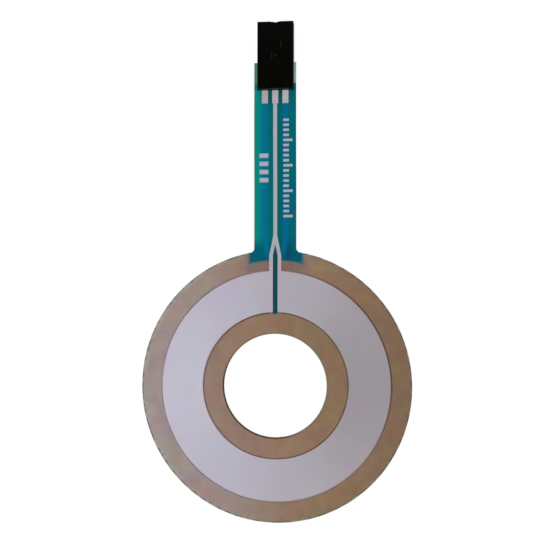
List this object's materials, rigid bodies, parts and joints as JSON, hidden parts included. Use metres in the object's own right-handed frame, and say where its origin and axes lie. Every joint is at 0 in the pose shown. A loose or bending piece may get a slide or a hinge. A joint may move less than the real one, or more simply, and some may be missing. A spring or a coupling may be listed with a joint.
{
  "type": "rotary membrane potentiometer",
  "caption": "Flat ring-shaped membrane potentiometer with a silver collector ring, a printed film tail and a crimped black socket connector.",
  "frame": {"origin": "centre of the ring's hole, on the plane of the release liner that the part rests on", "axes": "+Z out of the front film, +Y along the tail from the ring to the connector's pin openings"},
  "size_m": [0.0662, 0.1223, 0.0032],
  "materials": {
    "liner_paper": "smooth silicone-coated kraft paper",
    "adhesive": "thin acrylic adhesive",
    "polyester_film": "smooth polyester film",
    "carbon_ink": "screen-printed carbon, matt",
    "silver_ink": "screen-printed silver, satin",
    "spacer_tape": "tan adhesive tape seen through the film",
    "dielectric_ink": "teal ultraviolet-cured ink",
    "clear_film": "clear polyester film, satin",
    "black_plastic": "moulded black thermoplastic, fine matt",
    "tinned_metal": "tin-plated stamped contact"
  },
  "bodies": {
    "root": {"release_liner": "liner_paper", "rear_adhesive": "adhesive", "rear_film": "polyester_film", "resistive_track": "carbon_ink", "left_terminal": "silver_ink", "right_terminal": "silver_ink", "outer_spacer": "spacer_tape", "inner_spacer": "spacer_tape", "left_bridge": "silver_ink", "right_bridge": "silver_ink", "collector_print": "silver_ink", "left_pad": "silver_ink", "right_pad": "silver_ink", "first_dielectric": "dielectric_ink", "left_lead": "silver_ink", "right_lead": "silver_ink", "second_dielectric": "dielectric_ink", "front_film": "clear_film", "connector_housing": "black_plastic", "connector_cover": "black_plastic", "left_contact": "tinned_metal", "centre_contact": "tinned_metal", "right_contact": "tinned_metal"}
  },
  "joints": []
}
